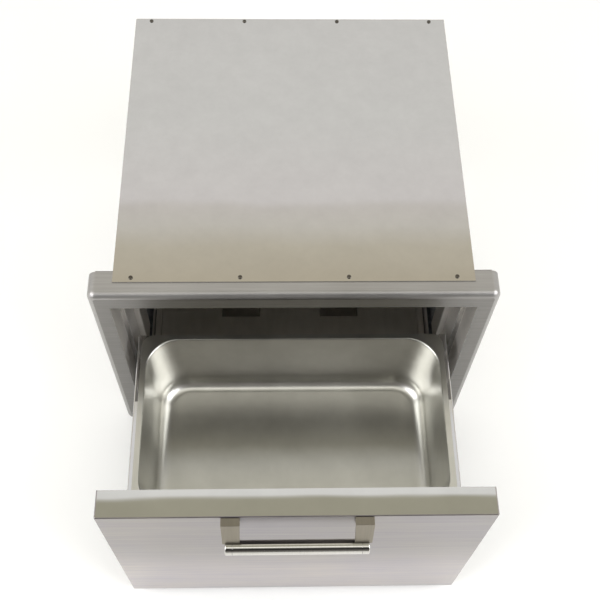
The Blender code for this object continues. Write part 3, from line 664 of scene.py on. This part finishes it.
def build_frame():
    """A folded ring with a bull-nosed outer edge, returned into the opening and hollow behind."""
    low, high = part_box("front_frame")
    front, back = low.y, high.y
    left, right = -OPENING_HALF_WIDTH, OPENING_HALF_WIDTH
    sill, head = OPENING_SILL, OPENING_HEAD
    piece = block("front_frame_sheet", low, high)
    edit(piece)
    corner, nose, opening_bend, rim_bend = 14 * MM, 12 * MM, 2.0 * MM, 1.6 * MM
    round_edges(piece, lambda e: runs_along(e, 1), corner, 8)
    choose(piece, "FACE", lambda f: f.normal.y > 0.9)
    bpy.ops.mesh.delete(type="FACE")
    round_edges(piece, lambda e: edge_at(e, 1, front) and angle_of(e) > SHARP, nose, 8)
    for point, normal in (
        ((left, 0, 0), (1, 0, 0)),
        ((right, 0, 0), (1, 0, 0)),
        ((0, 0, sill), (0, 0, 1)),
        ((0, 0, head), (0, 0, 1)),
    ):
        choose(piece, "FACE", lambda f: f.normal.y < -0.99)
        bpy.ops.mesh.bisect(plane_co=point, plane_no=normal)

    def in_opening(face):
        spot = face.calc_center_median()
        return face.normal.y < -0.99 and left < spot.x < right and sill < spot.z < head

    choose(piece, "FACE", in_opening)
    bpy.ops.mesh.extrude_region_move(TRANSFORM_OT_translate={"value": (0.0, back - front, 0.0)})
    bpy.ops.mesh.delete(type="FACE")

    def opening_corner(edge):
        spot = middle(edge)
        beside = abs(abs(spot.x) - right) < NEAR
        return runs_along(edge, 1) and beside and sill - NEAR < spot.z < head + NEAR

    round_edges(piece, opening_corner, opening_bend, 3)

    def opening_rim(edge):
        spot = middle(edge)
        inside = abs(spot.x) < right + NEAR and sill - NEAR < spot.z < head + NEAR
        return edge_at(edge, 1, front) and inside and angle_of(edge) > SHARP

    round_edges(piece, opening_rim, rim_bend, 4)
    bpy.ops.mesh.select_all(action="SELECT")
    bpy.ops.mesh.remove_doubles(threshold=0.00001)
    leave()
    turn_out(piece, 1, -1)
    modify(piece, "SOLIDIFY", thickness=SHEET, offset=-1.0, use_even_offset=True)
    finish_piece(piece, FRAMED, "cabinet", ("front_frame",))

    def on_return(face):
        level = sill - SHEET / 2 < face.center.z < head + SHEET / 2
        return abs(face.normal.y) < 0.3 and abs(face.center.x) < right + SHEET / 2 and level

    # Painted light: the returns into the opening are painted paler than the rest of the same sheet.
    refinish(piece, PAINTED_LIGHT_MATT, on_return)
    # Painted shade: the flat front face of the same sheet gets the darker grey.
    refinish(piece, SHADED_FACE, lambda face: face.normal.y < -0.99)


def build_drawer_skin():
    """The drawer's outer front: one sheet folded back on all four sides."""
    low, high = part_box("drawer_front_skin")
    piece = block("drawer_front_skin_sheet", low, high)
    edit(piece)
    corner, fold, top_layer = 2.0 * MM, 2.4 * MM, 0.5 * MM
    round_edges(piece, lambda e: runs_along(e, 1), corner, 4)
    choose(piece, "FACE", lambda f: f.normal.y > 0.9)
    bpy.ops.mesh.delete(type="FACE")
    round_edges(piece, lambda e: edge_at(e, 1, low.y) and angle_of(e) > SHARP, fold, 5)
    leave()
    modify(piece, "SOLIDIFY", thickness=SHEET, offset=-1.0, use_even_offset=True)
    finish_piece(piece, BRUSHED, "drawer", ("drawer_front_skin",))
    refinish(piece, FOLDED, lambda face: face.normal.z > 0.99 and face.center.z > high.z - top_layer)


# ---------------------------------------------------------------- handle and screws

TUBE_SIDES = 64
SCREW_SIDES = 24


def build_handle():
    """A drawn tube with two turned end plugs, on two folded straps."""
    low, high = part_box("handle_tube")
    centre = (low + high) / 2
    radius = (high.z - low.z) / 2
    seam_gap, wall = 0.3 * MM, 1.2 * MM

    def on_axis(x):
        return (x, centre.y, centre.z)

    tube = rod("handle_tube_drawn", radius, on_axis(low.x), on_axis(high.x), TUBE_SIDES, "NOTHING")
    modify(tube, "SOLIDIFY", thickness=wall, offset=-1.0, use_even_offset=True)
    edit(tube)
    round_edges(tube, lambda e: angle_of(e) > SHARP, 0.3 * MM, 2)
    leave()
    finish_piece(tube, POLISHED, "drawer", ("handle_tube",))
    for label, side in (("left", -1), ("right", 1)):
        cap_low, cap_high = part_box(f"handle_cap_{label}")
        seam = side * (high.x + seam_gap)
        end, root = (cap_high.x, cap_low.x) if side > 0 else (cap_low.x, cap_high.x)
        build_cap(label, radius, on_axis(seam), on_axis(end), root)
        sheet_piece(
            f"handle_bracket_{label}", STRAP, "drawer", 2.5 * MM, 1.0 * MM
        )


def build_cap(label, radius, seam, end, root):
    """An end plug: a disc with a rounded rim and a shallow dish, and a spigot that enters the tube."""
    outward = math.copysign(1.0, end[0] - seam[0])
    cap = rod(f"handle_cap_{label}_turned", radius, seam, end, TUBE_SIDES)
    edit(cap)
    choose(cap, "FACE", lambda f: face_at(f, 0, seam[0]))
    bpy.ops.mesh.inset(thickness=1.5 * MM)
    bpy.ops.mesh.extrude_region_move(TRANSFORM_OT_translate={"value": (root - seam[0], 0.0, 0.0)})
    choose(cap, "EDGE", lambda e: edge_at(e, 0, end[0]))
    bpy.ops.mesh.bevel(offset=1.8 * MM, segments=4, affect="EDGES")
    round_edges(cap, lambda e: angle_of(e) > SHARP and edge_at(e, 0, seam[0]), 0.35 * MM, 2)
    choose(cap, "FACE", lambda f: face_at(f, 0, end[0]))
    bpy.ops.mesh.inset(thickness=4.0 * MM)
    bpy.ops.mesh.extrude_region_move(TRANSFORM_OT_translate={"value": (-outward * 0.4 * MM, 0.0, 0.0)})
    leave()
    finish_piece(cap, POLISHED, "drawer", (f"handle_cap_{label}",))


def screw_shape(name, node, axis, side):
    """A pan-head screw with a cross recess, in the place of its node. Its head looks along the axis numbered
    0, 1 or 2, to the side 1 or -1."""
    low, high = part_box(node)
    centre = (low + high) / 2
    head_radius = (high.x - low.x) / 2
    top = Vector(centre)
    root = Vector(centre)
    top[axis] = high[axis] if side > 0 else low[axis]
    root[axis] = low[axis] if side > 0 else high[axis]
    out = Vector((0, 0, 0))
    out[axis] = side
    shank_radius = 2.0 * MM
    rise = (1.6 if axis == 2 else 2.0) * MM
    recess_reach, recess_half_width, recess_depth = head_radius * 0.62, 0.45 * MM, 0.75 * MM
    seat = top - out * rise
    piece = rod(name, head_radius, seat, top, SCREW_SIDES)
    edit(piece)
    round_edges(piece, lambda e: edge_at(e, axis, top[axis]), rise * 0.62, 4)
    choose(piece, "FACE", lambda f: face_at(f, axis, seat[axis]))
    bpy.ops.mesh.inset(thickness=head_radius - shank_radius)
    bpy.ops.mesh.extrude_region_move(TRANSFORM_OT_translate={"value": root - seat})
    leave()
    across = [i for i in range(3) if i != axis]
    for turn in (0, 1):
        half = Vector((0, 0, 0))
        half[across[turn]] = recess_reach
        half[across[1 - turn]] = recess_half_width
        half[axis] = recess_depth
        slot = block("recess", top - half, top + half)
        modify(piece, "BOOLEAN", object=slot, operation="DIFFERENCE", solver="EXACT")
        bpy.data.objects.remove(slot)
    return piece


def build_screws():
    for name in sorted(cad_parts):
        if name.startswith("top_screw"):
            piece = screw_shape(name + "_pan_head", name, 2, 1)
            finish_piece(piece, SCREW, "cabinet", (name,))
        elif name.startswith("handle_screw"):
            piece = screw_shape(name + "_pan_head", name, 1, -1)
            finish_piece(piece, SCREW, "drawer", (name,))


# ---------------------------------------------------------------- lamp and electrical pieces


def build_lamp():
    """A quartz tube between two metal bases, in its holders under a folded reflector."""
    low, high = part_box("uv_lamp")
    centre = (low + high) / 2
    radius = (high.z - low.z) / 2
    base_length, lamp_sides = 22 * MM, 48

    def on_axis(x):
        return (x, centre.y, centre.z)

    left_end, right_end = low.x + base_length, high.x - base_length
    tube = rod("uv_lamp_quartz", radius, on_axis(left_end), on_axis(right_end), lamp_sides)
    edit(tube)
    round_edges(tube, lambda e: angle_of(e) > SHARP, 3.0 * MM, 4)
    leave()
    finish_piece(tube, QUARTZ, "cabinet", ("uv_lamp",))
    for label, inner, outer in (("left", left_end, low.x), ("right", right_end, high.x)):
        base = rod(f"lamp_base_{label}", radius, on_axis(inner), on_axis(outer), lamp_sides)
        edit(base)
        round_edges(base, lambda e: angle_of(e) > SHARP, 0.8 * MM, 2)
        leave()
        finish_piece(base, CASING, "cabinet")
    for label in ("left", "right"):
        sheet_piece(f"lamp_holder_{label}", WHITE, "cabinet", 1.5 * MM, 0.5 * MM)
    sheet_piece("lamp_reflector", MIRROR, "cabinet")


def build_inlet():
    """The mains inlet: a flanged socket with three blades in its recess."""
    sheet_piece("power_inlet", BLACK, "cabinet", 1.2 * MM, 0.5 * MM)
    low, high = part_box("power_inlet")
    centre = (low + high) / 2
    half_width, half_height = 1.0 * MM, 2.2 * MM
    root, tip = low.y + 5.2 * MM, high.y - 5.0 * MM
    for number, (x, z) in enumerate(((-7, -2), (0, 2.2), (7, -2))):
        spot = Vector((centre.x + x * MM, 0, centre.z + z * MM))
        blade = block(
            f"inlet_blade_{number + 1}",
            (spot.x - half_width, root, spot.z - half_height),
            (spot.x + half_width, tip, spot.z + half_height),
        )
        edit(blade)
        round_edges(blade, lambda e: True, 0.4 * MM, 2)
        leave()
        finish_piece(blade, ZINC, "cabinet")


# ---------------------------------------------------------------- putting it together


def build_sheets():
    """The folded sheets, the slides and the small boxed pieces, each on a copy of its solid."""
    for node in ("top_panel", "side_panel_left", "side_panel_right", "back_panel", "bottom_panel"):
        piece = sheet_piece(node, SATIN, "cabinet")
        if node == "top_panel":
            refinish(piece, INNER, lambda face: face.normal.z < -0.9)
        # Painted light: the side panels' inner faces are painted paler than their outer faces.
        elif node == "side_panel_left":
            refinish(piece, PAINTED_LIGHT_MATT, lambda face: face.normal.x > 0.9)
        elif node == "side_panel_right":
            refinish(piece, PAINTED_LIGHT_MATT, lambda face: face.normal.x < -0.9)
    for node in (
        "rear_partition",
        "cavity_floor_front",
        "cavity_floor_rear",
        "floor_channel_left",
        "floor_channel_right",
    ):
        sheet_piece(node, INNER, "cabinet")
    for side in ("left", "right"):
        piece = sheet_piece(f"wall_upright_{side}", INNER, "cabinet")
        # Painted light: the uprights' front faces are painted paler than their other faces.
        refinish(piece, PAINTED_LIGHT_MATT, lambda face: face.normal.y < -0.9)
    sheet_piece("drawer_front_liner", BRUSHED, "drawer")
    for node in ("drawer_rail_left", "drawer_rail_right", "drawer_front_rail", "drawer_rear_rail"):
        sheet_piece(node, SATIN, "drawer")
    for side in ("left", "right"):
        for member, body in (("fixed", "cabinet"), ("middle", f"slide_middle_{side}"), ("drawer", "drawer")):
            sheet_piece(f"slide_{member}_{side}", ZINC, body, 1.6 * MM, 0.6 * MM)
    sheet_piece("lamp_ballast", CASING, "cabinet", 2.0 * MM)
    sheet_piece("terminal_block", WHITE, "cabinet", 1.0 * MM)
    sheet_piece("drawer_switch", BLACK, "cabinet", 1.2 * MM)
    sheet_piece("switch_magnet", BLACK, "drawer", 1.0 * MM)


build_camera()
build_room()
build_stage()
build_pan()
build_frame()
build_drawer_skin()
build_handle()
build_screws()
build_lamp()
build_inlet()
build_sheets()
